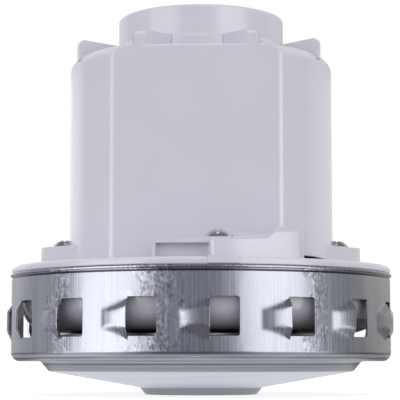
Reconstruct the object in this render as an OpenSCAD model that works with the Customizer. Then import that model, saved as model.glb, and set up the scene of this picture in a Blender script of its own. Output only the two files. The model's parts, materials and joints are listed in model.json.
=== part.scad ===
// Bypass vacuum motor unit: a moulded motor housing on a flange plate, above a drawn steel fan case.
// Millimetres. Z is up, the housing's flats face -Y and +Y, and the origin is the centre of the suction lip.

/* [Fan case] */
// Outside diameter of the fan case wall
case_d = 131; // [128:0.5:160]
// Thickness of the drawn steel sheet
sheet_t = 0.8; // [0.6:0.1:1]
// Bore of the suction neck
inlet_d = 31; // [28:0.5:32]
// Height of the suction neck inside the case
neck_h = 5.2; // [3.5:0.1:5.4]
// Width of the suction lip's flat foot
lip_w = 3.7; // [3:0.1:4.5]
// Depth of the suction lip below the dished floor
lip_h = 2.4; // [2:0.1:3]
// Rise of the dished floor
dish_h = 5.5; // [4.5:0.1:7]
// Rise of the step round the dished floor
step_h = 3.5; // [2.5:0.1:4.5]
// Width of the step round the dished floor
step_w = 2.8; // [2:0.1:4]
// Width of the outer floor between the step and the wall
floor_w = 10.1; // [7:0.1:14]
// Height from the outer floor of the case to its rim
case_h = 29.6; // [28:0.1:40]
// Bend radius between the outer floor and the wall
corner_r = 2.9; // [2:0.1:4]
// How far the rim's bead stands out from the wall
rim_flare = 0.5; // [0.2:0.1:0.8]
// Height of the rim's bead
bead_h = 1; // [0.8:0.1:2]
// Height of the groove under the bead
groove_h = 0.9; // [0.5:0.1:1.5]
// Depth of the groove under the bead
groove_d = 0.35; // [0.2:0.05:0.4]

/* [Louvres] */
// Number of louvres round the wall
louvre_n = 16; // [8:1:18]
// Angle of the first window's right edge from the front
louvre_turn = 13; // [0:0.5:22]
// Width of a louvre window
window_w = 9.4; // [6:0.1:11]
// Height of a louvre window
window_h = 12.1; // [8:0.1:13]
// Height from the outer floor to the window
window_up = 7.7; // [6.5:0.1:9]
// How far a scoop's lip stands out from the wall
scoop_out = 1.75; // [1.2:0.05:2.4]
// Radius of a scoop's bowed crest
scoop_bow = 26; // [20:0.5:32]
// Height of a scoop's crest at its lip
scoop_crest = 6.6; // [4:0.1:7]
// Height of a scoop's mouth on the wall
scoop_mouth = 13; // [11:0.1:14]

/* [Flange plate] */
// Thickness of the visible rim
flange_t = 2.4; // [2:0.1:5]
// Thickness of the plate inside the rim
plate_t = 5; // [4:0.1:7]
// Air gap between the diffuser bowl and the case wall
bowl_gap = 2.5; // [1.5:0.1:6]
// Wall thickness of the bowl
bowl_t = 2.6; // [2:0.1:3.5]
// Corner radius of the bowl
bowl_r = 10; // [6:0.5:14]

/* [Motor housing] */
// Diameter of the round sides
body_d = 91.7; // [90:0.1:96]
// Width across the two flats
flat_w = 73; // [71:0.5:78]
// Wall thickness of the housing
wall_t = 2.4; // [1.8:0.1:2.8]
// Height from the flange plate to the shoulder
housing_h = 72.6; // [70:0.1:90]
// Rounding of the shoulder over the round sides
shoulder_r = 4.3; // [3:0.1:7]
// Rounding of the shoulder over the flats
brow_r = 1; // [0.8:0.1:2]
// Rounding of the upright edges between flats and round sides
edge_r = 3.3; // [2.6:0.1:5]
// Diameter of the collar
collar_d = 58; // [57:0.1:62]
// Height of the collar above the shoulder
collar_h = 15.1; // [13:0.1:20]
// Wall thickness of the collar
collar_t = 2.2; // [1.8:0.1:2.6]
// Height of the ribs above the shoulder
rib_h = 4.7; // [3:0.1:7]
// Thickness of a rib
rib_t = 2.5; // [1.5:0.1:3]
// Distance of a rib from the diagonal it runs along
rib_off = 13.3; // [10:0.1:14]
// Angle of the rib diagonals from the front
rib_turn = 46.5; // [40:0.5:50]

/* [Screw lugs and hoods] */
// Distance of the four housing screws from the round sides
lug_off = 1.65; // [1:0.05:3]
// Angle of the front and rear screws from the flats' middle
lug_turn = 9; // [6:0.5:12]
// Angle of the two side screws from the sides' middle
side_turn = 4; // [0:0.5:8]
// Radius of a screw lug
lug_r = 8.2; // [7:0.1:9]
// Height of a screw lug
lug_h = 7.1; // [6:0.1:10]
// Reach of the air hoods from the round sides
hood_out = 11.65; // [10:0.05:13]
// Height of the low part of the air hood
hood_low = 5.8; // [5.4:0.1:7]
// Height of the high part of the air hood
hood_high = 7.6; // [7.2:0.1:9]
// Height of the air slots above the plate
slot_h = 3.6; // [2.5:0.1:4]

/* [Motor] */
// Diameter of the armature core
core_d = 43; // [40:0.5:44]
// Length of the armature and stator cores
core_l = 30; // [24:0.5:32]
// Air gap between armature and stator
air_gap = 0.5; // [0.4:0.1:0.8]
// Diameter of the commutator
comm_d = 24; // [22:0.5:25]
// Length of the commutator
comm_l = 15; // [13:0.5:16]
// Reach of the impeller past the dished floor
impeller_over = 0.4; // [-2:0.1:2]
// Thickness of the impeller sheets
impeller_t = 0.8; // [0.6:0.1:1]
// Number of impeller blades
blade_n = 7; // [5:1:9]
// Width of a carbon brush
brush_w = 6.2; // [5:0.1:6.4]
// Height of a carbon brush
brush_h = 10.8; // [8:0.1:11]
// Length of a carbon brush
brush_l = 18; // [15:0.5:19]
// How far a brush can be pushed back
brush_travel = 5; // [3:0.5:5]

/* [Fits] */
// Running clearance between turning and fixed pieces
run_gap = 0.4; // [0.3:0.05:0.6]
// Clearance of a seated piece
seat_gap = 0.05; // [0.02:0.01:0.1]
// Clearance of a press fit
press_gap = 0.01; // [0.01:0.005:0.02]

/* [Hidden] */
$fn = 72;
over = 1;
edge_lap = 0.004;

case_r = case_d / 2;
lip_r = inlet_d / 2 + lip_w;
lip_side = lip_r + lip_h * 0.85;
dish_r = case_r - floor_w - step_w;
dish_z = lip_h + dish_h;
floor_z = dish_z + step_h;
rim_z = floor_z + case_h;
plate_z = rim_z + flange_t;
plate_low = plate_z - plate_t;
spigot_r = case_r - sheet_t - 2 * seat_gap;
case_path = [
    [inlet_d / 2, neck_h],
    [inlet_d / 2, 0],
    [lip_r, 0],
    [lip_side, lip_h],
    [dish_r, dish_z],
    [dish_r + step_w, floor_z],
    [case_r, floor_z],
    [case_r, rim_z]
];
case_radii = [0, 1.2, 1, 1, 1.6, 1.6, corner_r, 0];
bead_z = rim_z - bead_h;
bead_r = bead_h * 0.45;
louvre_step = 360 / louvre_n;
window_z = floor_z + window_up;
window_turn = louvre_turn - asin(window_w / 2 / case_r);
window_r = 0.9;
scoop_lap = 0.05;
scoop_turn = window_turn - asin((window_w / 2 - scoop_lap) / case_r);
scoop_mid = window_z + window_h / 2 - 0.8;
scoop_lean = 4;
scoop_taper = 0.5;
crest_up = 0.6;

body_r = body_d / 2;
flat_y = flat_w / 2;
shoulder_z = plate_z + housing_h;
roof_t = wall_t;
roof_z = shoulder_z - roof_t;
collar_r = collar_d / 2;
collar_top = shoulder_z + collar_h;
collar_bore = collar_r - collar_t;
foot_out = 0.4;
foot_h = rib_h + 0.4;
rib_z = shoulder_z + rib_h;
lug_z = plate_z + lug_h;
lug_at = body_r + lug_off;
lug_root = 20;
lug_wall = 1.1;
lug_dig = 2.8;
lug_angles = [lug_turn, 90 + side_turn, 180 + lug_turn, 270 + side_turn];
head_r = 4.45;
boss_r = head_r + 0.5;
head_h = 2.9;
pocket_r = head_r + run_gap;
pad_r = pocket_r + 1.4;
hood_r = body_r + hood_out;
hood_left = 5;
hood_right = 32.4;
hood_ramp = [23, 25.6];
hood_tilt = 8;
arch_r = body_r + 4.6;
arch_left = 12;
arch_right = hood_right + 1.3;
arch_up = 1.6;
slot_out = 3.3;
slot_end = body_r * cos(12);
slot_low = 1.9;
key_out = 0.3;
key_from = -85.7;
key_to = -77.3;

screw_r = 2;
hole_r = screw_r + 0.3;
core_screw_r = 1.8;
core_hole_r = core_screw_r + 0.5;
holder_screw_r = 1.3;
plate_screw_r = 1.2;

low_bore = 8;
low_od = 22;
low_w = 7;
low_ball = 1.95;
low_pitch = (low_bore + low_od) / 4;
up_bore = 7;
up_od = 19;
up_w = 6;
up_ball = 1.75;
up_pitch = (up_bore + up_od) / 4;
bowl_out = case_r - sheet_t - bowl_gap;
bowl_in = bowl_out - bowl_t;
bowl_z = floor_z + 9.8;
bowl_floor = bowl_z + bowl_t;
low_z = bowl_z + 3.3;
low_top = low_z + low_w;
hub_r = low_od / 2 + 5;
retainer_t = 1.2;
seal_z = bowl_z + 0.9;
seal_r = low_od / 2 - 1.5;
spacer_r = low_bore / 2 + 1.9;
up_top = roof_z + 0.3;
bush_t = 1.5;
washer_t = 0.6;
up_z = up_top - washer_t - up_w;
spider_r = up_od / 2 + bush_t + 2.4;
comm_r = comm_d / 2;
comm_top = up_z - 2.8;
comm_z = comm_top - comm_l;
brush_z = comm_z + 2 + (comm_l - 2) / 2;
core_r = core_d / 2;
core_mid = (low_top + retainer_t + 2.2 + comm_z) / 2;
core_z = core_mid - core_l / 2;
core_top = core_mid + core_l / 2;
turn_h = 9;
stator_bore = core_r + air_gap;
stator_r = body_r - wall_t - 4 * seat_gap;
stator_y = flat_y - wall_t - 4 * seat_gap;
coil_in = stator_bore + 4.4;
coil_out = stator_y - 0.9;
column_y = stator_y - 3.8;
column_at = [sqrt(pow(stator_r - 4, 2) - column_y * column_y), column_y];
shaft_r = 5;

plate_gap = 1;
back_top = bowl_z - plate_gap;
back_z = back_top - impeller_t;
impeller_r = dish_r + impeller_over;
shroud_gap = 1.5;
eye_r = inlet_d / 2 + sheet_t + 1.3;
dish_slope = dish_h / (dish_r - lip_side);
shroud_eye = lip_h + sheet_t + shroud_gap + dish_slope * (eye_r - lip_side);
shroud_rim = shroud_eye + dish_slope * (impeller_r - eye_r);
shroud_path = [[eye_r, shroud_eye - 1], [eye_r, shroud_eye], [impeller_r, shroud_rim]];
nut_z = neck_h + 2.3;
nut_h = 5;
nut_washer_t = 1.2;
bush_z = nut_z + nut_h + nut_washer_t;
lock_t = 0.6;
fan_z = shoulder_z + 1;
fan_h = 7;
fan_r = collar_bore - 1;
shaft_top = fan_z + fan_h + 3.4;

tube_t = 0.8;
brush_tip = comm_r + 0.3;
brush_back = brush_tip + brush_l;
tube_in = comm_r + 2;
tube_end = stator_r - 2;
spring_room = tube_end - 1.2 - brush_back;
holder_half = brush_h / 2 + tube_t + 3;
holder_side = brush_w / 2 + tube_t + 5;
holder_in = tube_in + 6;
holder_screw = [30, brush_w / 2 + tube_t + 2.6];
terminal_z = (core_top + roof_z) / 2;
terminal_size = [22, 12];
tab_x = 5.5;

function unit(v) = v / norm(v);
function left_of(v) = [-v[1], v[0]];
function cross2(a, b) = a[0] * b[1] - a[1] * b[0];
function meet(p, d, q, e) = p + d * cross2(q - p, e) / cross2(d, e);
function reversed(list) = [for (i = [len(list) - 1:-1:0]) list[i]];

// A path moved to its left by t, with its corners met again
function shifted(path, t) = [
    for (i = [0:len(path) - 1])
        let (
            d = unit(i > 0 ? path[i] - path[i - 1] : path[1] - path[0]),
            e = i < len(path) - 1 ? unit(path[i + 1] - path[i]) : d,
            p = path[i] + t * left_of(d)
        )
        abs(cross2(d, e)) < 0.001 ? p : meet(p, d, path[i] + t * left_of(e), e)
];

// The radii that keep one thickness when a path is moved to its left by t
function shifted_radii(path, radii, t) = [
    for (i = [0:len(path) - 1])
        radii[i] == 0 ? 0 :
        cross2(path[i] - path[i - 1], path[i + 1] - path[i]) > 0 ? max(radii[i] - t, 0) : radii[i] + t
];

// The points of a rounded corner p between its neighbours a and b
function corner(a, p, b, r) =
    let (
        u = unit(a - p),
        v = unit(b - p),
        half = acos(u * v) / 2,
        m = p + unit(u + v) * r / sin(half),
        s = p + u * r / tan(half) - m,
        from = atan2(s[1], s[0]),
        swing = (180 - 2 * half) * (cross2(u, v) > 0 ? -1 : 1)
    )
    [for (k = [0:6]) m + r * [cos(from + swing * k / 6), sin(from + swing * k / 6)]];
function rounded(path, radii) = [
    for (i = [0:len(path) - 1])
        each radii[i] == 0 ? [path[i]] : corner(path[i - 1], path[i], path[i + 1], radii[i])
];

// The section of a bent sheet, from its outside path
function sheet(path, radii, t) = concat(
    rounded(path, radii),
    reversed(rounded(shifted(path, t), shifted_radii(path, radii, t)))
);

module steel() color([0.66, 0.67, 0.68]) children();
module white() color([0.85, 0.84, 0.88]) children();
module dark() color([0.16, 0.16, 0.17]) children();
module copper() color([0.72, 0.42, 0.24]) children();
module brass() color([0.76, 0.62, 0.32]) children();
module alloy() color([0.78, 0.79, 0.8]) children();

module ring(r_in, r_out, z, h) {
    translate([0, 0, z])
        difference() {
            cylinder(r = r_out, h = h);
            translate([0, 0, -over])
                cylinder(r = r_in, h = h + 2 * over);
        }
}

module sector(r_in, r_out, from, to, z, h) {
    rotate([0, 0, from])
        rotate_extrude(angle = to - from)
            translate([r_in, z])
                square([r_out - r_in, h]);
}

// Outline of the housing: round sides of radius r, flats at f and rounded edges e
module outline(r, f, e) {
    y = f - e;
    x = sqrt(pow(r - e, 2) - y * y);
    square([2 * x, 2 * f], center = true);
    intersection() {
        circle(r);
        for (s = [-1, 1])
            polygon([[0, 0], [s * 3 * x, 3 * y], [s * 3 * x, -3 * y]]);
    }
    for (s = [-1, 1], t = [-1, 1])
        translate([s * x, t * y])
            circle(e + edge_lap);
}

// Half of an upright section with a rounded top: half width w, height h and rounding f
module crown(w, h, f) {
    square([w + 10, h - f]);
    translate([0, h - f - over])
        square([w - f, f + over]);
    translate([w - f, h - f])
        circle(f);
}

// Everything under a top whose edge is rounded by f over sides of radius r and by g over flats at y
module dome(r, y, low, high, f, g) {
    translate([0, 0, low])
        intersection() {
            rotate_extrude()
                crown(r, high - low, f);
            rotate([90, 0, 90])
                translate([0, 0, -body_d])
                    linear_extrude(2 * body_d) {
                        crown(y, high - low, g);
                        mirror([1, 0])
                            crown(y, high - low, g);
                    }
        }
}

// The housing's form, moved in by inset, between two heights, under such a top
module body(inset, low, high, f, g) {
    intersection() {
        translate([0, 0, low])
            linear_extrude(high - low)
                outline(body_r - inset, flat_y - inset, max(edge_r - inset, 0.4));
        dome(body_r - inset, flat_y - inset, low, high, f, g);
    }
}

// The ribs round the collar, before they are cut to the housing's outline
module ribs() {
    difference() {
        intersection() {
            for (a = [rib_turn, -rib_turn], s = [-1, 1])
                rotate([0, 0, a])
                    translate([s * rib_off - rib_t / 2, -body_d, roof_z])
                        cube([rib_t, 2 * body_d, rib_h + roof_t]);
            dome(body_r, flat_y, roof_z, rib_z, 2, 2);
        }
        translate([0, 0, shoulder_z])
            cylinder(r = collar_r + foot_out + seat_gap, h = rib_h + over);
    }
}

module shell() {
    intersection() {
        translate([0, 0, plate_z - over])
            linear_extrude(rib_z - plate_z + 2 * over)
                outline(body_r, flat_y, edge_r);
        union() {
            dome(body_r, flat_y, plate_z - 2 * over, shoulder_z, shoulder_r, brow_r);
            ribs();
        }
    }
}

module side_lug() {
    y = sqrt(pow(body_r - 0.7, 2) - lug_root * lug_root);
    run = [lug_root, lug_at - y];
    turn = atan2(run[1], run[0]) - acos(lug_r / norm(run));
    touch = 0.995 * lug_r * [cos(turn), sin(turn)];
    translate([0, 0, plate_z - over])
        linear_extrude(lug_h + over)
            difference() {
                union() {
                    translate([0, -lug_at])
                        circle(lug_r);
                    polygon([
                        [-touch[0], touch[1] - lug_at], [touch[0], touch[1] - lug_at],
                        [lug_root, -y], [-lug_root, -y]
                    ]);
                }
                circle(body_r - wall_t / 2);
            }
}

// A front screw's boss under a thin-walled block that is open to the front
module front_lug() {
    left = 13.2;
    edge = 3;
    drop = 0.9;
    front = lug_at + 5.4;
    low = plate_z - 2 * over;
    rotate([0, 0, lug_turn])
        translate([0, -lug_at, plate_z - over])
            cylinder(r = boss_r, h = lug_h + over);
    difference() {
        intersection() {
            translate([-left, -front, plate_z - over])
                cube([left + 15, front - flat_y + wall_t / 2, lug_h + over]);
            rotate([90, 0, 0])
                linear_extrude(front + over) {
                    translate([edge - left, lug_z - drop - edge])
                        circle(edge);
                    translate([-left - over, low])
                        square([edge + over, lug_z - drop - edge - low]);
                    polygon([
                        [edge - left, low], [left + 5, low], [left + 5, lug_z],
                        [2, lug_z], [edge - left, lug_z - drop]
                    ]);
                }
        }
        translate([lug_wall - left, -front - over, low])
            cube([left + hood_left, lug_dig + over, lug_z - drop - lug_wall - low]);
    }
}

// The air hood out to radius r, from x0 to x1: its roof rises toward the housing and is lowered by drop
module hood(r, x0, x1, drop) {
    low = hood_low - drop;
    high = hood_high - drop;
    nose = 2;
    root = flat_y - wall_t - 4;
    y = sqrt(pow(r - nose, 2) - pow(x0 + nose, 2));
    intersection() {
        translate([0, 0, plate_z - over])
            linear_extrude(2 * hood_high)
                intersection() {
                    circle(r);
                    union() {
                        polygon([
                            [x0 + nose, -2 * r], [x1 - 1, -2 * r], [x1 + 1.6, -root],
                            [x0, -root], [x0, -y], [x0 + nose, -y]
                        ]);
                        translate([x0 + nose, -y])
                            circle(nose);
                    }
                }
        translate([0, -r, plate_z])
            rotate([hood_tilt, 0, 0])
                translate([0, 40, 0])
                    rotate([90, 0, 0])
                        linear_extrude(46)
                            polygon(rounded(
                                [
                                    [x0 - 3, -15], [x0 - 3, low], [hood_ramp[0], low], [hood_ramp[1], high],
                                    [x1 + 2, high], [x1 + 2, -15]
                                ],
                                [0, 0, 1, 1, 2, 0]
                            ));
    }
}

// Room for a screw head in the housing, or for the wall round that room
module head_room(r) {
    low = lug_z + pocket_r - r;
    translate([0, 0, low])
        cylinder(r = r, h = head_h + lug_z - low);
    translate([0, 0, lug_z + head_h])
        sphere(r = r);
}

module spider() {
    translate([0, 0, up_z - 0.6])
        cylinder(r = spider_r, h = up_top + 1.6 - up_z + 0.6);
    for (a = [45:90:315])
        rotate([0, 0, a])
            translate([0, -3, up_z - 0.6])
                cube([collar_r + 3, 6, shoulder_z - up_z + 0.6]);
}

module motor_housing() {
    white()
        difference() {
            union() {
                difference() {
                    union() {
                        shell();
                        for (a = [90, 270])
                            rotate([0, 0, a + side_turn])
                                side_lug();
                        for (a = [0, 180])
                            rotate([0, 0, a]) {
                                front_lug();
                                hood(hood_r, hood_left, hood_right, 0);
                                hood(arch_r, arch_left, arch_right, -arch_up);
                            }
                    }
                    body(wall_t, plate_z - 2 * over, roof_z, shoulder_r - wall_t, 0.4);
                    translate([0, 0, roof_z - over])
                        cylinder(r = collar_bore, h = roof_t + 2 * over);
                    translate([-hood_r - over, -hood_r - over, plate_z - 3 * over])
                        cube([2 * hood_r + 2 * over, 2 * hood_r + 2 * over, 3 * over]);
                }
                spider();
                intersection() {
                    for (a = [90, 270])
                        rotate([0, 0, a + side_turn])
                            translate([0, -lug_at, 0])
                                head_room(pad_r);
                    body(wall_t / 2, plate_z, roof_z, shoulder_r - wall_t / 2, 0.4);
                }
                for (x = [-1, 1], y = [-1, 1]) {
                    translate([x * column_at[0], y * column_at[1], core_top])
                        cylinder(r = 4.6, h = roof_z - core_top + over);
                    translate([x * holder_screw[0], y * holder_screw[1], brush_z + holder_half])
                        cylinder(r = 2.9, h = roof_z - brush_z - holder_half + over);
                }
            }
            translate([0, 0, up_z - over])
                cylinder(r = up_od / 2 + bush_t + seat_gap, h = up_top - up_z + over);
            translate([0, 0, up_z])
                cylinder(r = up_bore / 2 + 1.5, h = 3 * up_w);
            for (a = lug_angles)
                rotate([0, 0, a])
                    translate([0, -lug_at, 0]) {
                        translate([0, 0, plate_z - over])
                            cylinder(r = hole_r, h = lug_h + 2 * over);
                        head_room(pocket_r);
                    }
            for (a = [0, 180])
                rotate([0, 0, a]) {
                    hood(hood_r - 1.8, 20, hood_right - 2.4, 1.7);
                    translate([20, -flat_y - 2, plate_z - over])
                        cube([8, 6, slot_h + over]);
                    intersection() {
                        sector(body_r - wall_t - 0.6, body_r + 0.6, -53, -12, plate_z - over, slot_h);
                        rotate([90, 0, 0])
                            linear_extrude(body_r)
                                polygon([
                                    [0, plate_z - 2 * over], [slot_end, plate_z - 2 * over],
                                    [slot_end, plate_z + slot_low], [hood_right, plate_z + slot_out],
                                    [0, plate_z + slot_out]
                                ]);
                    }
                }
            for (x = [-1, 1], y = [-1, 1]) {
                translate([x * column_at[0], y * column_at[1], core_top - over])
                    cylinder(r = core_screw_r, h = 14 + over);
                translate([x * holder_screw[0], y * holder_screw[1], brush_z + holder_half - over])
                    cylinder(r = holder_screw_r, h = 5 + over);
            }
            translate([-terminal_size[0] / 2, flat_y - 6, terminal_z - terminal_size[1] / 2])
                cube([terminal_size[0], 12, terminal_size[1]]);
        }
}

// The open collar on the housing, with a slightly wider foot between the ribs
module collar() {
    white()
        rotate_extrude()
            translate([collar_bore, shoulder_z])
                polygon(rounded(
                    [
                        [0, 0], [collar_t + foot_out, 0], [collar_t + foot_out, foot_h - 1],
                        [collar_t, foot_h], [collar_t, collar_h], [0, collar_h]
                    ],
                    [0, 0, 0, 0, 1, 0]
                ));
}

module flange_plate() {
    white() {
        sector(case_r - 3, case_r + key_out, key_from, key_to, rim_z + key_out, flange_t);
        difference() {
            rotate_extrude() {
                polygon(rounded(
                    [[0, rim_z], [case_r, rim_z], [case_r, plate_z], [0, plate_z]],
                    [0, flange_t / 6, 1, 0]
                ));
                translate([0, plate_low])
                    square([spigot_r, plate_t - 1.2]);
            }
            translate([0, 0, plate_low - over])
                linear_extrude(plate_t + 2 * over)
                    outline(body_r - wall_t, flat_y - wall_t, 1);
            for (a = lug_angles)
                rotate([0, 0, a])
                    translate([0, -lug_at, plate_low - over])
                        cylinder(r = hole_r, h = plate_t + 2 * over);
        }
    }
}

module bowl_section(r, z, c) {
    translate([0, z + c])
        square([r, plate_low - z - c]);
    translate([0, z])
        square([r - c, plate_low - z]);
    translate([r - c, z + c])
        circle(c);
}

module diffuser_bowl() {
    white()
        difference() {
            union() {
                difference() {
                    rotate_extrude()
                        intersection() {
                            bowl_section(bowl_out, bowl_z, bowl_r);
                            square([bowl_out, plate_low]);
                        }
                    rotate_extrude()
                        intersection() {
                            translate([0, over])
                                bowl_section(bowl_in, bowl_floor - over, bowl_r - bowl_t);
                            square([bowl_out, plate_low + over]);
                        }
                    translate([0, 0, plate_low - 3])
                        cylinder(r = bowl_in, h = 6);
                }
                translate([0, 0, bowl_z])
                    cylinder(r = hub_r, h = low_top - bowl_z);
                intersection() {
                    for (a = [0:45:315])
                        rotate([0, 0, a + 22.5])
                            translate([hub_r - 2, -1.1, bowl_z + 1])
                                cube([bowl_in - hub_r + 2.6, 2.2, low_top - bowl_z - 2]);
                    rotate_extrude()
                        bowl_section(bowl_out - 0.6, bowl_z, bowl_r - 0.6);
                }
                intersection() {
                    for (a = lug_angles)
                        rotate([0, 0, a])
                            translate([0, -lug_at, bowl_z])
                                cylinder(r = 4.4, h = plate_low - bowl_z);
                    rotate_extrude()
                        bowl_section(bowl_out - 0.6, bowl_z + 0.6, bowl_r - 0.6);
                }
            }
            translate([0, 0, low_z])
                cylinder(r = low_od / 2 + seat_gap, h = low_w + over);
            translate([0, 0, seal_z])
                cylinder(r = seal_r + seat_gap, h = low_w);
            translate([0, 0, bowl_z - over])
                cylinder(r = spacer_r + 1.1, h = low_w);
            for (a = lug_angles)
                rotate([0, 0, a])
                    translate([0, -lug_at, plate_low - 9])
                        cylinder(r = screw_r + press_gap, h = 9 + over);
            for (a = [0:120:240])
                rotate([0, 0, a])
                    translate([hub_r - 2.6, 0, low_top - 5])
                        cylinder(r = plate_screw_r + press_gap, h = 5 + over);
        }
}

// How far a facet of the given slope moves in when its sheet has thickness t
// What lies on the inner side of a scoop's sloping side, which starts at rise on the wall
module scoop_side(rise, slope) {
    span = 8 * window_w;
    translate([0, 0, rise])
        rotate([asin(slope / norm([scoop_taper, slope, 1])), -atan(scoop_taper), 0])
            translate([-span / 2, -span / 2, -span])
                cube(span);
}

// One louvre's scoop, bowed out to its lip: its outside, or moved in by depth its hollow
module scoop(depth) {
    rise = scoop_mouth / 2;
    up = (rise - crest_up - scoop_crest / 2) / scoop_out;
    down = (rise + crest_up - scoop_crest / 2) / scoop_out;
    translate([0, -case_r, scoop_mid])
        intersection() {
            translate([scoop_bow * sin(scoop_lean), scoop_bow * cos(scoop_lean) - scoop_out, -scoop_mouth])
                cylinder(r = scoop_bow - depth, h = 2 * scoop_mouth);
            translate([-scoop_bow / 2, -2 * scoop_out, -scoop_mouth])
                cube([scoop_bow / 2 + depth, 2 * scoop_out + sheet_t + 1.2, 2 * scoop_mouth]);
            scoop_side(rise - depth * norm([scoop_taper, up, 1]), up);
            mirror([0, 0, 1])
                scoop_side(rise - depth * norm([scoop_taper, down, 1]), down);
        }
}

module window() {
    translate([0, -case_r, 0])
        rotate([90, 0, 0])
            translate([0, 0, -6])
                linear_extrude(12)
                    polygon(rounded(
                        [
                            [-window_w / 2, window_z], [window_w / 2, window_z],
                            [window_w / 2, window_z + window_h], [-window_w / 2, window_z + window_h]
                        ],
                        [0, window_r, window_r, 0]
                    ));
}

module fan_case() {
    steel()
        difference() {
            union() {
                rotate_extrude()
                    difference() {
                        union() {
                            polygon(sheet(case_path, case_radii, sheet_t));
                            polygon(rounded(
                                [
                                    [case_r - sheet_t / 2, bead_z], [case_r + rim_flare, bead_z],
                                    [case_r + rim_flare, rim_z], [case_r - sheet_t / 2, rim_z]
                                ],
                                [0, bead_r, bead_r, 0]
                            ));
                        }
                        translate([case_r - groove_d, bead_z - groove_h])
                            square([over, groove_h]);
                    }
                difference() {
                    for (k = [0:louvre_n - 1])
                        rotate([0, 0, scoop_turn + k * louvre_step])
                            scoop(0);
                    translate([0, 0, floor_z])
                        cylinder(r = case_r - sheet_t / 2, h = case_h);
                }
            }
            for (k = [0:louvre_n - 1]) {
                rotate([0, 0, scoop_turn + k * louvre_step])
                    scoop(sheet_t);
                rotate([0, 0, window_turn + k * louvre_step])
                    window();
            }
        }
}

// A pan head screw, head upward, its seat at z = 0
module screw(head_r, head_h, r, length) {
    dome = (head_r * head_r + head_h * head_h) / (2 * head_h);
    difference() {
        union() {
            intersection() {
                translate([0, 0, head_h - dome])
                    sphere(r = dome);
                cylinder(r = head_r, h = head_h);
            }
            translate([0, 0, -length])
                cylinder(r = r, h = length + head_h / 4);
        }
        for (a = [0, 90])
            rotate([0, 0, a])
                translate([-head_r * 0.55, -head_r * 0.11, head_h * 0.4])
                    cube([head_r * 1.1, head_r * 0.22, head_h]);
    }
}

module housing_screws() {
    steel()
        for (a = lug_angles)
            rotate([0, 0, a])
                translate([0, -lug_at, lug_z])
                    screw(head_r, head_h, screw_r, lug_h + plate_t + 8);
}

module stator_core() {
    steel()
        translate([0, 0, core_z])
            linear_extrude(core_l)
                difference() {
                    outline(stator_r, stator_y, 1.5);
                    circle(stator_bore);
                    for (s = [0, 180])
                        rotate(s) {
                            intersection() {
                                circle(coil_out + 0.4);
                                polygon([[0, 0], [60, 36], [60, -36]]);
                            }
                            intersection() {
                                difference() {
                                    circle(coil_out + 0.3);
                                    circle(coil_in - 0.3);
                                }
                                polygon([[0, 0], [60, 74], [60, -74]]);
                            }
                        }
                    for (x = [-1, 1], y = [-1, 1])
                        translate([x * column_at[0], y * column_at[1]])
                            circle(core_hole_r);
                    for (a = [90, 270])
                        rotate(a + side_turn)
                            translate([0, -lug_at])
                                circle(pad_r + 4 * seat_gap);
                }
}

// One field coil, round the pole that faces +Y
module coil() {
    copper()
        difference() {
            sector(coil_in, coil_out, 33, 147, core_z - turn_h, core_l + 2 * turn_h);
            sector(coil_in - over, coil_out + over, 48, 132, core_z - 1, core_l + 2);
        }
}

module field_coil_rear() {
    coil();
}

module field_coil_front() {
    rotate([0, 0, 180])
        coil();
}

module stator_screws() {
    steel()
        for (x = [-1, 1], y = [-1, 1])
            translate([x * column_at[0], y * column_at[1], core_z])
                rotate([180, 0, 0])
                    screw(3.6, 2.4, core_screw_r - press_gap, core_l + 12);
}

// Bearing rings, cage and balls: pitch radius p, ball radius b and width w, standing on z
module outer_race(od, p, b, z, w) {
    rotate_extrude()
        difference() {
            translate([p + b * 0.75, z])
                square([od / 2 - p - b * 0.75, w]);
            translate([p, z + w / 2])
                circle(b + 0.08);
        }
}

module inner_race(bore, p, b, z, w) {
    rotate_extrude()
        difference() {
            translate([bore / 2 + press_gap, z])
                square([p - b * 0.75 - bore / 2 - press_gap, w]);
            translate([p, z + w / 2])
                circle(b + 0.08);
        }
}

module balls(p, b, z, w) {
    for (a = [0:360 / 7:359])
        rotate([0, 0, a])
            translate([p, 0, z + w / 2])
                sphere(r = b);
}

module cage(p, b, z, w) {
    difference() {
        ring(p - 0.6, p + 0.6, z + 0.7, w - 1.4);
        balls(p, b + 0.12, z, w);
    }
}

module lower_outer_ring() {
    steel()
        outer_race(low_od, low_pitch, low_ball, low_z, low_w);
}

module lower_inner_ring() {
    steel()
        inner_race(low_bore, low_pitch, low_ball, low_z, low_w);
}

module lower_cage() {
    brass()
        cage(low_pitch, low_ball, low_z, low_w);
}

module lower_balls() {
    steel()
        balls(low_pitch, low_ball, low_z, low_w);
}

module upper_outer_ring() {
    steel()
        outer_race(up_od, up_pitch, up_ball, up_z, up_w);
}

module upper_inner_ring() {
    steel()
        inner_race(up_bore, up_pitch, up_ball, up_z, up_w);
}

module upper_cage() {
    brass()
        cage(up_pitch, up_ball, up_z, up_w);
}

module upper_balls() {
    steel()
        balls(up_pitch, up_ball, up_z, up_w);
}

module upper_bearing_bush() {
    dark()
        ring(up_od / 2 + press_gap, up_od / 2 + bush_t, up_z, up_w);
}

module wave_washer() {
    steel()
        ring(up_od / 2 - 2, up_od / 2 - 0.2, up_z + up_w, washer_t);
}

module bearing_retainer() {
    steel()
        difference() {
            ring(low_od / 2 - 1.4, hub_r, low_top, retainer_t);
            for (a = [0:120:240])
                rotate([0, 0, a])
                    translate([hub_r - 2.6, 0, low_top - over])
                        cylinder(r = plate_screw_r + 0.3, h = retainer_t + 2 * over);
        }
}

module retainer_screws() {
    steel()
        for (a = [0:120:240])
            rotate([0, 0, a])
                translate([hub_r - 2.6, 0, low_top + retainer_t])
                    screw(2.3, 1.6, plate_screw_r, 5);
}

module shaft_seal() {
    dark()
        ring(spacer_r + run_gap, seal_r, seal_z, low_z - seal_z);
}

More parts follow.
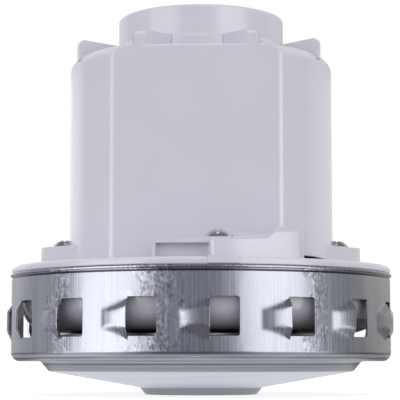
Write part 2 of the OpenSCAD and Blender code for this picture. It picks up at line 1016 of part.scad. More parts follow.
module shaft() {
    steel() {
        translate([0, 0, nut_z - 1.5])
            cylinder(r = low_bore / 2, h = low_top + 4 - nut_z + 1.5);
        translate([0, 0, low_top + 2])
            cylinder(r = shaft_r, h = comm_top - low_top - 1);
        translate([0, 0, comm_top])
            cylinder(r = up_bore / 2, h = fan_z + fan_h - comm_top);
        translate([0, 0, fan_z])
            cylinder(r = 3, h = shaft_top - fan_z);
    }
}

module armature_core() {
    steel()
        translate([0, 0, core_z])
            linear_extrude(core_l)
                difference() {
                    circle(core_r);
                    circle(shaft_r + press_gap);
                    for (a = [0:30:330])
                        rotate(a) {
                            translate([core_r - 5.2, 0])
                                circle(3);
                            translate([core_r - 5, -1.1])
                                square([6, 2.2]);
                        }
                }
}

module armature_winding() {
    copper() {
        for (z = [core_z - turn_h, core_top])
            ring(shaft_r + 2, core_r - 1.6, z, turn_h);
        for (a = [0:30:330])
            rotate([0, 0, a])
                translate([core_r - 5.2, 0, core_z - 1])
                    cylinder(r = 2.8, h = core_l + 2);
    }
}

module commutator_hub() {
    dark()
        ring(shaft_r + press_gap, comm_r - 4.5, comm_z, comm_l);
}

module commutator_bars() {
    copper()
        difference() {
            union() {
                ring(comm_r - 4.5 + press_gap, comm_r, comm_z, comm_l);
                ring(comm_r - 4.5 + press_gap, comm_r + 1.4, comm_z, 2);
            }
            for (a = [0:15:165])
                rotate([0, 0, a])
                    translate([-comm_r * 2, -0.3, comm_z - over])
                        cube([comm_r * 4, 0.6, comm_l + 2 * over]);
        }
}

module shaft_spacer() {
    steel()
        ring(low_bore / 2 + press_gap, spacer_r, back_top + lock_t, low_z - back_top - lock_t);
}

module impeller_back() {
    alloy()
        ring(low_bore / 2 + press_gap, impeller_r, back_z, impeller_t);
}

module impeller_shroud() {
    alloy()
        rotate_extrude()
            polygon(sheet(shroud_path, [0, 1, 0], impeller_t));
}

// Backward blades on a circle of radius swing about a point at reach from the axis
module impeller_blades() {
    swing = 51;
    reach = 35.4;
    lift = impeller_t * sqrt(1 + dish_slope * dish_slope) + seat_gap;
    alloy()
        intersection() {
            translate([0, 0, shroud_eye - 3])
                linear_extrude(back_z - shroud_eye + 3)
                    for (k = [0:blade_n - 1])
                        rotate(k * 360 / blade_n)
                            intersection() {
                                translate([reach, 0])
                                    difference() {
                                        circle(swing + impeller_t / 2);
                                        circle(swing - impeller_t / 2);
                                    }
                                translate([-60, 1])
                                    square([120, 80]);
                                difference() {
                                    circle(impeller_r - 0.5);
                                    circle(eye_r + 2.5);
                                }
                            }
            rotate_extrude()
                polygon([
                    [eye_r, shroud_eye + lift], [impeller_r, shroud_rim + lift],
                    [impeller_r, back_z + over], [eye_r, back_z + over]
                ]);
        }
}

module impeller_bush() {
    alloy()
        union() {
            ring(low_bore / 2 + press_gap, 8.5, bush_z, back_z - bush_z);
            ring(low_bore / 2 + press_gap, 12.5, back_z - 1.5, 1.5);
        }
}

module impeller_washers() {
    steel() {
        ring(low_bore / 2 + press_gap, 7.6, nut_z + nut_h, nut_washer_t);
        ring(low_bore / 2 + press_gap, 10, back_top, lock_t);
    }
}

module hex_nut(r, bore, z, h) {
    translate([0, 0, z])
        difference() {
            cylinder(r = r, h = h, $fn = 6);
            translate([0, 0, -over])
                cylinder(r = bore, h = h + 2 * over);
        }
}

module impeller_nut() {
    steel()
        hex_nut(7.5, low_bore / 2 + press_gap, nut_z, nut_h);
}

module cooling_fan() {
    white()
        difference() {
            union() {
                translate([0, 0, fan_z])
                    cylinder(r = 8, h = fan_h);
                intersection() {
                    for (k = [0:8])
                        rotate([0, 0, k * 40])
                            translate([0, 0, fan_z + fan_h / 2])
                                rotate([38, 0, 0])
                                    translate([5, -fan_h, -0.7])
                                        cube([fan_r, 2 * fan_h, 1.4]);
                    ring(6, fan_r, fan_z, fan_h);
                }
            }
            translate([0, 0, fan_z - over])
                cylinder(r = up_bore / 2 + press_gap, h = fan_h + 2 * over);
        }
}

module fan_nut() {
    steel()
        hex_nut(5.7, 3 + press_gap, fan_z + fan_h, 2.6);
}

// Everything on the brush side at +X; the left side is this turned half round
module brush_holder() {
    dark()
        difference() {
            translate([holder_in, -holder_side, brush_z - holder_half])
                cube([tube_end - holder_in, 2 * holder_side, 2 * holder_half]);
            translate([0, -brush_w / 2 - tube_t - seat_gap, brush_z - brush_h / 2 - tube_t - seat_gap])
                cube([60, brush_w + 2 * tube_t + 2 * seat_gap, brush_h + 2 * tube_t + 2 * seat_gap]);
            for (s = [-1, 1])
                translate([holder_screw[0], s * holder_screw[1], brush_z - holder_half - over])
                    cylinder(r = holder_screw_r + 0.2, h = 2 * holder_half + 2 * over);
        }
}

module brush_tube() {
    brass()
        difference() {
            translate([tube_in, -brush_w / 2 - tube_t, brush_z - brush_h / 2 - tube_t])
                cube([tube_end - tube_in, brush_w + 2 * tube_t, brush_h + 2 * tube_t]);
            translate([0, -brush_w / 2 - 0.12, brush_z - brush_h / 2 - 0.12])
                cube([60, brush_w + 0.24, brush_h + 0.24]);
        }
}

module brush_cap() {
    brass()
        translate([tube_end - 1.2, -brush_w / 2, brush_z - brush_h / 2])
            cube([1.2, brush_w, brush_h]);
}

module brush_spring() {
    wire = 0.3;
    turns = floor((spring_room - brush_travel) / (2 * wire)) - 1;
    rings = turns * 12;
    coil_r = brush_w / 2 - 0.6;
    pitch = (spring_room - 2 * wire - 0.3) / turns;
    at = function (i) [
        brush_back + 0.15 + wire + pitch * turns * i / rings,
        coil_r * cos(30 * i),
        brush_z + coil_r * sin(30 * i)
    ];
    steel()
        polyhedron(
            points = [
                for (i = [0:rings], k = [0:5])
                    at(i) + wire * (cos(60 * k) * [0, cos(30 * i), sin(30 * i)] + sin(60 * k) * [1, 0, 0])
            ],
            faces = concat(
                [[for (k = [0:5]) k]],
                [
                    for (i = [0:rings - 1], k = [0:5], half = [0, 1])
                        let (a = 6 * i + k, b = 6 * i + (k + 1) % 6)
                        half == 0 ? [a, a + 6, b] : [b, a + 6, b + 6]
                ],
                [[for (k = [5:-1:0]) 6 * rings + k]]
            )
        );
}

module carbon_brush() {
    dark()
        difference() {
            translate([brush_tip - 4, -brush_w / 2, brush_z - brush_h / 2])
                cube([brush_l + 4, brush_w, brush_h]);
            translate([0, 0, brush_z - brush_h])
                cylinder(r = brush_tip, h = 2 * brush_h);
        }
}

module left() {
    rotate([0, 0, 180])
        children();
}

module brush_holder_right() {
    brush_holder();
}

module brush_holder_left() {
    left()
        brush_holder();
}

module brush_tube_right() {
    brush_tube();
}

module brush_tube_left() {
    left()
        brush_tube();
}

module brush_cap_right() {
    brush_cap();
}

module brush_cap_left() {
    left()
        brush_cap();
}

module brush_spring_right() {
    brush_spring();
}

module brush_spring_left() {
    left()
        brush_spring();
}

module carbon_brush_right() {
    carbon_brush();
}

module carbon_brush_left() {
    left()
        carbon_brush();
}

module holder_screws() {
    steel()
        for (x = [-1, 1], y = [-1, 1])
            translate([x * holder_screw[0], y * holder_screw[1], brush_z - holder_half])
                rotate([180, 0, 0])
                    screw(2.4, 1.6, holder_screw_r - press_gap, 2 * holder_half + 4.5);
}

module terminal_block() {
    w = terminal_size[0];
    h = terminal_size[1];
    dark()
        difference() {
            union() {
                translate([-w / 2 + seat_gap, flat_y - 5, terminal_z - h / 2 + seat_gap])
                    cube([w - 2 * seat_gap, 5, h - 2 * seat_gap]);
                translate([-w / 2 - 1.5, flat_y + seat_gap, terminal_z - h / 2 - 1.5])
                    cube([w + 3, 2, h + 3]);
                translate([-w / 2 + 1, flat_y - 1, terminal_z - h / 2 + 1])
                    cube([w - 2, 2, h - 2]);
            }
            for (s = [-1, 1])
                translate([s * tab_x - 3.2, flat_y - 8, terminal_z - 0.45])
                    cube([6.4, 16, 0.9]);
        }
}

module terminal_tabs() {
    brass()
        for (s = [-1, 1])
            translate([s * tab_x - 3.15, flat_y - 9, terminal_z - 0.4])
                difference() {
                    cube([6.3, 19, 0.8]);
                    translate([3.15, 15.5, -over])
                        cylinder(r = 0.8, h = 3);
                }
}

motor_housing();
collar();
flange_plate();
diffuser_bowl();
fan_case();
housing_screws();
stator_core();
field_coil_front();
field_coil_rear();
stator_screws();
lower_outer_ring();
bearing_retainer();
retainer_screws();
shaft_seal();
upper_outer_ring();
upper_bearing_bush();
wave_washer();
brush_holder_left();
brush_holder_right();
brush_tube_left();
brush_tube_right();
brush_cap_left();
brush_cap_right();
holder_screws();
brush_spring_left();
brush_spring_right();
terminal_block();
terminal_tabs();
shaft();
armature_core();
armature_winding();
commutator_hub();
commutator_bars();
lower_inner_ring();
upper_inner_ring();
shaft_spacer();
impeller_back();
impeller_shroud();
impeller_blades();
impeller_bush();
impeller_washers();
impeller_nut();
cooling_fan();
fan_nut();
lower_cage();
lower_balls();
upper_cage();
upper_balls();
carbon_brush_left();
carbon_brush_right();
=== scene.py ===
import json
from math import cos, pi, radians, sin

import bpy
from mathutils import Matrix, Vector

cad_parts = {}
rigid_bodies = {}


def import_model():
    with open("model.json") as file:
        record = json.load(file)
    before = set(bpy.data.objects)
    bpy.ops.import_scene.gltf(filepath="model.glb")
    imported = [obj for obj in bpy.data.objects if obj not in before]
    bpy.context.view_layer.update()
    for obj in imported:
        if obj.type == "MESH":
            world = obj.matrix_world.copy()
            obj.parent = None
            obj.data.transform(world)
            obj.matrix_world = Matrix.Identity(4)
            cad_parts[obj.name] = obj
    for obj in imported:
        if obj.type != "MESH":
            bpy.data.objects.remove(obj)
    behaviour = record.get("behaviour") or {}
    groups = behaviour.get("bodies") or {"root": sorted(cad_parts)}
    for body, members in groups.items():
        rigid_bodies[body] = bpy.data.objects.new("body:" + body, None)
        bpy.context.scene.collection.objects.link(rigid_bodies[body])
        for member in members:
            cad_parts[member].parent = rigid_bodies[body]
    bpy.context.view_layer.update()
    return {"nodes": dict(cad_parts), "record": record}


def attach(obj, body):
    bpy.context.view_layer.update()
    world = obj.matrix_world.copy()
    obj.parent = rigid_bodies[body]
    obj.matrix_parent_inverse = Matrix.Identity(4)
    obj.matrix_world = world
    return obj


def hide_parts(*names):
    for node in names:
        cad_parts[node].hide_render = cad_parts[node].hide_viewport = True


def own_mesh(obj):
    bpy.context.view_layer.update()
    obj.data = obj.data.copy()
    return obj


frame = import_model()
NODES = frame["nodes"]
RECORD = frame["record"]
scene = bpy.context.scene
scene.view_settings.view_transform = "Standard"


# Camera, at the photograph's angle

PIXELS = 400                  # width of the picture
SENSOR = 36                   # width of the sensor in millimetres
VIEW_TURN = radians(2.5)
VIEW_TILT = radians(6.08)
VIEW_DISTANCE = 0.5319
VIEW_HEIGHT = 0.011
FOCAL_PIXELS = 1523.7
SHIFT_PIXELS = -1.0
CLIP_START = 0.01

camera = bpy.data.objects.new("camera", bpy.data.cameras.new("camera"))
scene.collection.objects.link(camera)
scene.camera = camera
camera.location = (
    VIEW_DISTANCE * sin(VIEW_TURN),
    -VIEW_DISTANCE * cos(VIEW_TURN),
    VIEW_HEIGHT,
)
forward = Vector((
    -sin(VIEW_TURN) * cos(VIEW_TILT),
    cos(VIEW_TURN) * cos(VIEW_TILT),
    sin(VIEW_TILT),
))
camera.rotation_euler = forward.to_track_quat("-Z", "Y").to_euler()
camera.data.sensor_width = SENSOR
camera.data.lens = FOCAL_PIXELS / PIXELS * SENSOR
camera.data.shift_x = SHIFT_PIXELS / PIXELS
camera.data.clip_start = CLIP_START


# Shader graphs

def add(tree, kind, inputs=None, **settings):
    """A new shader node; inputs are values or the sockets that feed them."""
    made = tree.nodes.new("ShaderNode" + kind)
    for name, value in settings.items():
        setattr(made, name, value)
    for name, value in (inputs or {}).items():
        if isinstance(value, bpy.types.NodeSocket):
            tree.links.new(value, made.inputs[name])
        else:
            made.inputs[name].default_value = value
    return made


def maths(tree, operation, a, b=0.0):
    return add(tree, "Math", {0: a, 1: b}, operation=operation).outputs[0]


def product(tree, first, *others):
    for other in others:
        first = maths(tree, "MULTIPLY", first, other)
    return first


def noise(tree, place, scale, detail=2.0, rough=0.5):
    return add(tree, "TexNoise", {
        "Vector": place, "Scale": scale, "Detail": detail, "Roughness": rough,
    }).outputs["Fac"]


def spread(tree, value, low, high, start=0.3, end=0.7, kind="LINEAR"):
    """Maps a value between start and end, by default a noise value, to low and high."""
    return add(
        tree, "MapRange",
        {"Value": value, "From Min": start, "From Max": end, "To Min": low, "To Max": high},
        interpolation_type=kind,
    ).outputs["Result"]


def blend(tree, factor, first, second):
    """Blends two numbers, each given by value or by socket."""
    return add(tree, "Mix", {"Factor": factor, 2: first, 3: second}).outputs[0]


def chain(tree, value, first, stages):
    """A level that starts at first and runs to each stage's level over its span."""
    level = first
    for target, start, end in stages:
        rise = spread(tree, value, 0, 1, start, end, "SMOOTHSTEP")
        level = blend(tree, rise, level, target)
    return level


def mix(tree, factor, first, second):
    """Blends two colours."""
    return add(tree, "MixRGB", {
        "Fac": factor, "Color1": (*first, 1), "Color2": (*second, 1),
    }).outputs["Color"]


def shade(colour, factor):
    return tuple(min(1.0, c * factor) for c in colour)


def begin(name):
    """A new material, with its tree, its Principled shader and its object coordinates."""
    made = bpy.data.materials.new(name)
    made.use_nodes = True
    tree = made.node_tree
    tree.nodes.clear()
    shader = add(tree, "BsdfPrincipled")
    output = add(tree, "OutputMaterial")
    tree.links.new(shader.outputs["BSDF"], output.inputs["Surface"])
    return made, tree, shader, add(tree, "TexCoord").outputs["Object"]


def feed(tree, shader, **sockets):
    """Sets the shader's sockets, each by value or by the socket that feeds it."""
    for name, value in sockets.items():
        key = name.replace("_", " ")
        if isinstance(value, bpy.types.NodeSocket):
            tree.links.new(value, shader.inputs[key])
        else:
            shader.inputs[key].default_value = value


BEVEL_SAMPLES = 8


def bumped(tree, height, distance, strength, edge=None):
    """A normal from a height; edge is a radius that eases edges, given by value or by socket."""
    inputs = {"Height": height, "Distance": distance, "Strength": strength}
    if edge is not None:
        eased = add(tree, "Bevel", {"Radius": edge}, samples=BEVEL_SAMPLES)
        inputs["Normal"] = eased.outputs["Normal"]
    return add(tree, "Bump", inputs).outputs["Normal"]


# Moulded plastic

CLOUD_SCALE = 60
CLOUD_SHADE = 0.015           # how far the cloud moves the colour to either side
CLOUD_GLOSS = 0.02            # how far it moves the roughness
GRAIN_DEPTH = 0.000005


def moulded_plastic(name, colour, roughness, specular, grain, edge):
    """Satin moulded plastic: a faint cloud in the colour and fine spark-eroded grain."""
    made, tree, shader, place = begin(name)
    cloud = noise(tree, place, CLOUD_SCALE)
    cloud = spread(tree, cloud, 0, 1, start=0.1, end=0.9, kind="SMOOTHSTEP")
    feed(
        tree, shader,
        Base_Color=mix(
            tree, cloud, shade(colour, 1 - CLOUD_SHADE), shade(colour, 1 + CLOUD_SHADE),
        ),
        Roughness=spread(
            tree, cloud, roughness - CLOUD_GLOSS, roughness + CLOUD_GLOSS, start=0, end=1,
        ),
        Specular_IOR_Level=specular,
        Normal=bumped(tree, noise(tree, place, grain), GRAIN_DEPTH, strength=0.4, edge=edge),
    )
    return made


# Drawn steel of the fan case

WALL_R = 0.0655               # outside radius of the wall
LOUVRES = 16
LOUVRE_TURN = radians(4.81)   # where the first scoop's mouth is
SCOOP_LONG = 0.0112           # from a scoop's start on the wall to its mouth
SCOOP_Z = (0.0165, 0.0322)    # lower and upper end of the scoops
SCOOP_FADE = 0.001
MOUTH_FADE = (0.0006, 0.0026)
MOUTH_SHARE = 0.1             # how much of the easing is left at a mouth
FOOT_Z = (0.0138, 0.0143)     # the foot of the wall
SCOOP_EDGE = 0.002            # radius that eases the scoops' edges
SHEET_EDGE = 0.0002           # the same for the other edges of the sheet
RELIEF_DEPTH = 0.00003
LINE_RELIEF = 0.3             # share of each mark in the relief
RING_RELIEF = 0.5
GRAIN_RELIEF = 0.9
PEEL_RELIEF = (0.25, 1.2)     # outside the peeled patches and in them
WALL_ROUGH = (0.22, 0.34)     # least and most roughness
FLOOR_ROUGH = (0.36, 0.5)
BRIGHTEST = 2.0               # most that the finish and its painted highlights may raise the colour

# How the marks are drawn out: round the wall, away from the axis and upwards
LINE_STRETCH = (1, 0.3, 0.012)
PEEL_STRETCH = (1, 0.3, 0.7)
RAGGED_STRETCH = (1, 0.3, 0.5)
RING_STRETCH = (0.004, 1, 1)

# Patches of peel round the wall, raised in the relief and mottled in the colour as a painted
# reflection: the middle and half the width of each
PATCHES = (
    (-0.0105, 0.0095), (-0.047, 0.006), (0.041, 0.0045),
    (0.093, 0.009), (-0.115, 0.011), (0.15, 0.008),
)
PATCH_RAGGED = 0.006          # how far a patch's edge wanders
PATCH_CORE = 0.35             # share of a patch that is peeled all over

# Painted shade and highlights up the height, standing in for what the case mirrors there: the lip's
# level, then each band's level and the heights between which it sets in
LIP_SHADE = 0.68
HEIGHT_SHADE_BANDS = (
    (1.5, 0.0022, 0.0026),    # dish
    (0.74, 0.0078, 0.0082),   # step round the dish
    (0.44, 0.0099, 0.0102),   # dark line on the step
    (0.98, 0.0105, 0.0109),   # upper edge of the step
    (0.68, 0.0111, 0.0114),   # outer floor
    (1.3, 0.0117, 0.012),     # bright line where the corner starts
    (0.82, 0.012, 0.0122),    # dark line above it
    (1.95, 0.0123, 0.0127),   # corner
    (0.45, 0.0132, FOOT_Z[0]),  # dark line below the wall
    (1.0, *FOOT_Z),           # wall
)
# Painted shade in the groove under the rim, easing back to full level on the rim
GROOVE_SHADE = (
    (0.1, 0.0389, 0.0391),    # painted shade in the groove under the rim
    (0.24, 0.0394, 0.0396),
    (0.8, 0.0396, 0.0399),
    (1.0, 0.0399, 0.0401),    # rim
)


def round_the_axis(tree, place):
    """Length round the case wall, distance from the axis and height, from object coordinates."""
    xyz = add(tree, "SeparateXYZ", {"Vector": place})
    x, y, z = (xyz.outputs[k] for k in "XYZ")
    angle = maths(tree, "ARCTAN2", x, product(tree, y, -1.0))
    squares = maths(tree, "ADD", product(tree, x, x), product(tree, y, y))
    return product(tree, angle, WALL_R), maths(tree, "SQRT", squares), z


def stretched(tree, where, factors):
    parts = {k: product(tree, v, f) for k, v, f in zip("XYZ", where, factors)}
    return add(tree, "CombineXYZ", parts).outputs["Vector"]


def scoop_zone(tree, along, up):
    """1 on the scoops and on the wall close by, fading out towards their mouths."""
    pitch = 2 * pi / LOUVRES * WALL_R
    turned = maths(tree, "ADD", along, LOUVRES / 2 * pitch - LOUVRE_TURN * WALL_R)
    back = maths(tree, "SUBTRACT", pitch, maths(tree, "MODULO", turned, pitch))
    near = spread(tree, back, MOUTH_SHARE, 1, *MOUTH_FADE)
    far = spread(tree, back, 1, 0, SCOOP_LONG, SCOOP_LONG + SCOOP_FADE)
    low = spread(tree, up, 0, 1, SCOOP_Z[0] - SCOOP_FADE, SCOOP_Z[0])
    high = spread(tree, up, 1, 0, SCOOP_Z[1], SCOOP_Z[1] + SCOOP_FADE)
    return product(tree, near, far, low, high)


def peeled(tree, where):
    """1 in the patches of the wall, with ragged edges."""
    ragged = stretched(tree, where, RAGGED_STRETCH)
    ragged = noise(tree, ragged, scale=260, detail=3, rough=0.6)
    place = maths(tree, "ADD", where[0], spread(tree, ragged, -PATCH_RAGGED, PATCH_RAGGED))
    most = 0.0
    for middle, half in PATCHES:
        away = maths(tree, "ABSOLUTE", maths(tree, "SUBTRACT", place, middle))
        inside = spread(tree, away, 1, 0, PATCH_CORE * half, half)
        most = maths(tree, "MAXIMUM", inside, most)
    return most


def drawn_steel(name, colour):
    """Deep-drawn sheet: draw lines and a patchy peel on the wall, rings and grain on the floor; painted
    highlights and shade in bands up the height, painted shade in the groove under the rim and painted
    reflection mottle in the peel's patches.
    """
    made, tree, shader, place = begin(name)
    where = round_the_axis(tree, place)
    along, _, up = where
    wall = spread(tree, up, 0, 1, *FOOT_Z)
    lines = noise(tree, stretched(tree, where, LINE_STRETCH), scale=2100, rough=0.6)
    peel = noise(tree, stretched(tree, where, PEEL_STRETCH), scale=1250, rough=0.55)
    rings = noise(tree, stretched(tree, where, RING_STRETCH), scale=2600, rough=0.6)
    grain = noise(tree, place, scale=3400)
    patch = peeled(tree, where)

    # painted reflection mottle in the colour of the peel's patches
    painted_mottle = spread(tree, peel, low=0.55, high=1.45, start=0.36, end=0.62)
    drawn = product(tree, spread(tree, lines, low=0.84, high=1.12), blend(tree, patch, 1.0, painted_mottle))
    spun = product(
        tree, spread(tree, rings, low=0.8, high=1.16), spread(tree, grain, low=0.88, high=1.12),
    )
    finish = blend(tree, wall, spun, drawn)
    # painted highlights and shade in bands up the height
    painted_bands = chain(tree, up, LIP_SHADE, HEIGHT_SHADE_BANDS)
    # painted shade in the groove under the rim
    groove_shade = chain(tree, up, 1.0, GROOVE_SHADE)
    level = maths(tree, "MINIMUM", product(tree, finish, painted_bands, groove_shade), BRIGHTEST)

    floor_relief = maths(
        tree, "ADD", product(tree, rings, RING_RELIEF), product(tree, grain, GRAIN_RELIEF),
    )
    peel_relief = product(tree, peel, spread(tree, patch, *PEEL_RELIEF, start=0, end=1))
    wall_relief = maths(tree, "ADD", product(tree, lines, LINE_RELIEF), peel_relief)
    relief = blend(tree, wall, floor_relief, wall_relief)
    edge = spread(tree, scoop_zone(tree, along, up), SHEET_EDGE, SCOOP_EDGE, start=0, end=1)

    toned = add(tree, "VectorMath", {0: colour, "Scale": level}, operation="SCALE")
    feed(
        tree, shader,
        Base_Color=toned.outputs["Vector"],
        Metallic=1.0,
        Roughness=blend(
            tree, wall, spread(tree, grain, *FLOOR_ROUGH), spread(tree, lines, *WALL_ROUGH),
        ),
        Normal=bumped(tree, relief, RELIEF_DEPTH, strength=0.6, edge=edge),
    )
    return made


# Other metals

METAL_CLOUD = 260
METAL_GRAIN = 2600
METAL_EDGE = 0.0002
METAL_DEPTH = 0.00001
METAL_WEAR = 0.1
METAL_GLOSS = (-0.06, 0.08)   # how far the cloud moves the roughness
STACK_CLOUD = 180
STACK_DEPTH = 0.00004
STACK_GLOSS = (-0.05, 0.1)
STACK_SHADE = (0.75, 1.0)     # least and most that the cloud leaves of the colour
STACK_GAP = (-0.9, -0.3)      # part of the wave that is the gap between two layers


def plain_metal(name, colour, roughness):
    """Plated or turned metal: cloudy brightness, fine marks and uneven gloss."""
    made, tree, shader, place = begin(name)
    cloud = noise(tree, place, METAL_CLOUD, detail=3)
    fine = noise(tree, place, METAL_GRAIN)
    feed(
        tree, shader,
        Base_Color=mix(
            tree, spread(tree, cloud, 0, 1),
            shade(colour, 1 - METAL_WEAR), shade(colour, 1 + METAL_WEAR / 2),
        ),
        Metallic=1.0,
        Roughness=spread(tree, cloud, *(roughness + change for change in METAL_GLOSS)),
        Normal=bumped(tree, fine, METAL_DEPTH, strength=0.5, edge=METAL_EDGE),
    )
    return made


def layered(name, colour, gap, pitch, roughness):
    """Stacked laminations or laid wire: fine level lines, as dark as gap between the layers."""
    made, tree, shader, place = begin(name)
    up = add(tree, "SeparateXYZ", {"Vector": place}).outputs["Z"]
    wave = maths(tree, "SINE", product(tree, up, 2 * pi / pitch))
    cloud = noise(tree, place, STACK_CLOUD, detail=3)
    line = spread(tree, wave, 0, 1, *STACK_GAP)
    feed(
        tree, shader,
        Base_Color=mix(
            tree, product(tree, line, spread(tree, cloud, *STACK_SHADE)),
            shade(colour, gap), colour,
        ),
        Metallic=1.0,
        Roughness=spread(tree, cloud, *(roughness + change for change in STACK_GLOSS)),
        Normal=bumped(tree, wave, STACK_DEPTH, strength=0.6),
    )
    return made


PLASTICS = {
    # colour, roughness, specular, grain, edge radius
    "white_plastic": ((0.595, 0.58, 0.658), 0.22, 1.0, 5200, 0.0006),
    "dark_plastic": ((0.035, 0.035, 0.038), 0.42, 0.5, 3200, 0.00035),
    "rubber": ((0.02, 0.02, 0.021), 0.7, 0.35, 2400, 0.0002),
    "carbon": ((0.028, 0.028, 0.03), 0.55, 0.5, 1800, 0.0002),
}
METALS = {
    # colour, roughness
    "zinc_steel": ((0.68, 0.69, 0.71), 0.16),
    "bright_steel": ((0.6, 0.6, 0.6), 0.22),
    "brass": ((0.78, 0.6, 0.28), 0.3),
    "aluminium": ((0.72, 0.73, 0.75), 0.34),
}
STACKS = {
    # colour, shade of the gaps, pitch of the layers, roughness
    "lamination": ((0.32, 0.32, 0.34), 0.5, 0.0005, 0.4),
    "copper": ((0.72, 0.36, 0.2), 0.45, 0.0006, 0.34),
}
STEEL = (0.43, 0.44, 0.484)

materials = {"drawn_steel": drawn_steel("drawn_steel", STEEL)}
for recipe, rows in ((moulded_plastic, PLASTICS), (plain_metal, METALS), (layered, STACKS)):
    for name, values in rows.items():
        materials[name] = recipe(name, *values)

for row in RECORD["subparts"]:
    piece = NODES[row["node"]]
    piece.data.materials.clear()
    piece.data.materials.append(materials[row["material_slot"]])


# Brush springs: each is a copy of its spring, fixed to the body its brush slides in

slides = {row["name"]: row for row in RECORD["behaviour"]["joints"] if row["type"] == "slide"}
for side in ("left", "right"):
    node = "brush_spring_" + side
    slide = slides["brush_" + side + "_slide"]
    coil = bpy.data.objects.new("brush_coil_" + side, NODES[node].data.copy())
    scene.collection.objects.link(coil)
    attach(coil, slide["parent"])
    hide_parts(node)
    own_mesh(coil)


# Studio

WHITE_LEVEL = 1.0
AMBIENT = 1.08
FLOOR_TONE = 0.45
FLOOR_GLOW = 0.7
FLOOR_HALF = 4.0
LAMP_DISTANCE = 0.9
AIM_HEIGHT = 0.06             # where the lamps are aimed on the axis
CARD_R = 1.2                  # the panels and flags stand on this circle
CARD_SPLIT = 0.13             # heights where their levels change
CARD_HIGH = 0.33
CARD_TOP = 1.1
HIGH_SHARE = 0.6              # level of their upper part, as a share of the middle one
CARD_STEPS = 12
FLOOR_CARD = (0.085, 0.0005)  # inner radius and height of the floor's part of each
CEILING = (0.2, 1.3)          # inner radius and height of the flag overhead
CEILING_LEVEL = 0.22
CEILING_BLUE = 1.12
NEAR_RING = (0.067, 0.1)      # radii of the dark ring on the floor close to the case
NEAR_HEIGHT = 0.0007
NEAR_LEVEL = 0.22


def seen_rays(tree):
    """1 for rays from the camera, a mirror surface or a clear one; 0 for light that falls on things."""
    path = add(tree, "LightPath")
    rays = maths(tree, "ADD", path.outputs["Is Camera Ray"], path.outputs["Is Glossy Ray"])
    total = add(
        tree, "Math", {0: rays, 1: path.outputs["Is Transmission Ray"]},
        operation="ADD", use_clamp=True,
    )
    return total.outputs[0]


world = bpy.data.worlds.new("studio")
scene.world = world
world.use_nodes = True
tree = world.node_tree
tree.nodes.clear()
sky = add(tree, "Background", {
    "Color": (1, 1, 1, 1),
    "Strength": spread(tree, seen_rays(tree), AMBIENT, WHITE_LEVEL, start=0, end=1),
})
tree.links.new(sky.outputs[0], add(tree, "OutputWorld").inputs["Surface"])


def direction(azimuth):
    """A level unit vector; 0 faces the camera and positive turns to the right."""
    return Vector((sin(radians(azimuth)), -cos(radians(azimuth)), 0))


def softbox(name, azimuth, height, width, tall, level, distance=LAMP_DISTANCE, colour=(1, 1, 1)):
    """A soft lamp aimed at the object; its mirror image comes from the panels below."""
    light = bpy.data.lights.new(name, "AREA")
    light.color = colour
    light.shape = "RECTANGLE"
    light.size = width
    light.size_y = tall
    light.energy = level * pi * width * tall
    box = bpy.data.objects.new(name, light)
    box.location = direction(azimuth) * distance + Vector((0, 0, height))
    aim = Vector((0, 0, AIM_HEIGHT)) - box.location
    box.rotation_euler = aim.to_track_quat("-Z", "Z").to_euler()
    box.visible_camera = False
    box.visible_glossy = False
    scene.collection.objects.link(box)


softbox("softbox_front", azimuth=4, height=0.45, width=1.0, tall=0.8, level=0.62)
softbox("softbox_left", azimuth=-125, height=0.4, width=0.7, tall=1.0, level=1.1)
softbox(
    "softbox_right", azimuth=125, height=0.4, width=0.7, tall=1.0, level=0.8,
    colour=(0.97, 1.0, 0.86),
)
softbox("softbox_top", azimuth=0, height=1.3, width=0.9, tall=0.9, level=0.25, distance=0.05)


def glow(name, level, blue):
    made = bpy.data.materials.new(name)
    made.use_nodes = True
    tree = made.node_tree
    tree.nodes.clear()
    lit = add(tree, "Emission", {"Color": (level, level, level * blue, 1), "Strength": 1.0})
    tree.links.new(lit.outputs[0], add(tree, "OutputMaterial").inputs["Surface"])
    return made


def card(name, start, end, level, inner, outer, blue=1.0):
    """A curved panel or flag that only mirror surfaces see, so that bare steel reads as steel.

    It runs round the object from one azimuth to another, between two rings that are each
    given by a radius and a height.
    """
    points, faces = [], []
    for k in range(CARD_STEPS + 1):
        side = direction(start + (end - start) * k / CARD_STEPS)
        points += [side * radius + Vector((0, 0, height)) for radius, height in (inner, outer)]
        if k:
            faces.append((2 * k - 2, 2 * k, 2 * k + 1, 2 * k - 1))
    mesh = bpy.data.meshes.new(name)
    mesh.from_pydata(points, [], faces)
    mesh.materials.append(glow(name, level, blue))
    made = bpy.data.objects.new(name, mesh)
    scene.collection.objects.link(made)
    made.visible_camera = False
    made.visible_diffuse = False
    made.visible_transmission = False
    made.visible_shadow = False


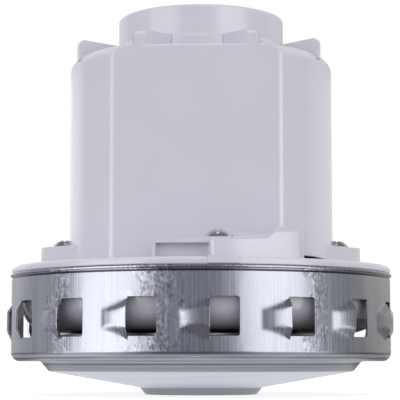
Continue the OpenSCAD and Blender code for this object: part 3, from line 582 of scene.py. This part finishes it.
# Each panel or flag: its span, its levels in the middle, below and on the floor, and its blue
SURROUND = (
    ("left_panel", -72, -29, 1.95, 2.45, 2.45, 1.03),
    ("right_panel", 24.5, 66, 2.4, 2.0, 1.85, 1.03),
    ("front_flag", -29, 24.5, 0.4, 0.4, 0.15, 1.14),
    ("left_flag", -123, -72, 0.5, 0.5, 0.42, 1.08),
    ("right_flag", 66, 112, 0.4, 0.4, 0.25, 1.08),
    ("back_right", 112, 180, 0.85, 0.5, 0.5, 0.92),
    ("back_left", 180, 237, 1.2, 0.6, 0.6, 1.03),
)
FLOOR_END, SPLIT, HIGH, TOP = (
    (CARD_R, height) for height in (FLOOR_CARD[1], CARD_SPLIT, CARD_HIGH, CARD_TOP)
)
for name, start, end, level, low_level, floor_level, blue in SURROUND:
    card(name, start, end, level, SPLIT, HIGH, blue)
    card(name + "_high", start, end, level * HIGH_SHARE, HIGH, TOP, blue)
    card(name + "_low", start, end, low_level, (CARD_R, 0.0), SPLIT, blue)
    card(name + "_foot", start, end, floor_level, FLOOR_CARD, FLOOR_END, blue)
card("ceiling", 0, 360, CEILING_LEVEL, TOP, CEILING, CEILING_BLUE)
card("near_floor", 0, 360, NEAR_LEVEL, *((radius, NEAR_HEIGHT) for radius in NEAR_RING))

corners = [(x * FLOOR_HALF, y * FLOOR_HALF, 0) for x, y in ((-1, -1), (1, -1), (1, 1), (-1, 1))]
mesh = bpy.data.meshes.new("floor")
mesh.from_pydata(corners, [], [(0, 1, 2, 3)])
floor = bpy.data.objects.new("floor", mesh)
scene.collection.objects.link(floor)
paper = bpy.data.materials.new("paper")
paper.use_nodes = True
tree = paper.node_tree
tree.nodes.clear()
matt = add(tree, "BsdfDiffuse", {"Color": (FLOOR_TONE, FLOOR_TONE, FLOOR_TONE, 1)})
white = add(tree, "Emission", {
    "Color": (1, 1, 1, 1),
    "Strength": spread(tree, seen_rays(tree), 0.0, FLOOR_GLOW, start=0, end=1),
})
both = add(tree, "AddShader", {0: matt.outputs[0], 1: white.outputs[0]})
tree.links.new(both.outputs[0], add(tree, "OutputMaterial").inputs["Surface"])
floor.data.materials.append(paper)
